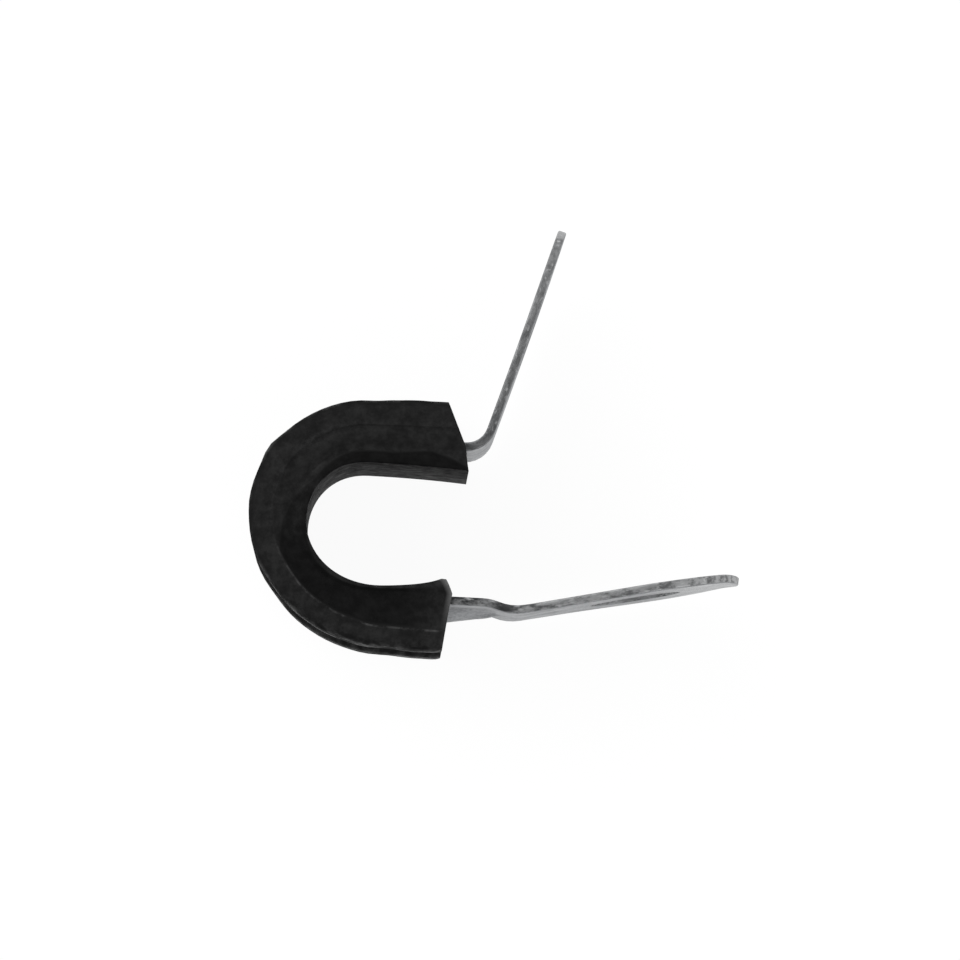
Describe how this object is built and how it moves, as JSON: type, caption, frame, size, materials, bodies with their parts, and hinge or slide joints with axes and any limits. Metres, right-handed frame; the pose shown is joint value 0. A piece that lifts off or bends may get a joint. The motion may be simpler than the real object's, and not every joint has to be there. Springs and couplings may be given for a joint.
{
  "type": "rubber-lined cable clamp",
  "caption": "Opened P-clip: a zinc-plated steel band with round drilled legs, looped inside a slotted rubber cushion that grips a round cable.",
  "frame": {"origin": "on the axis of the clamped cable, halfway across the band", "axes": "+Z along the cable axis, which stands upright because the clamp lies on the cushion's side; +X out of the clamp's mouth, along the cushion's two arms; +Y from the lower arm to the upper arm"},
  "size_m": [0.0351, 0.0308, 0.0186],
  "materials": {
    "zinc_steel": "zinc-plated mild steel strip, satin, mottled, with darker sheared edges",
    "black_rubber": "extruded black rubber, matt to low satin, with fine lines along its length"
  },
  "bodies": {
    "root": {"steel_band": "zinc_steel", "rubber_cushion": "black_rubber"}
  },
  "joints": []
}
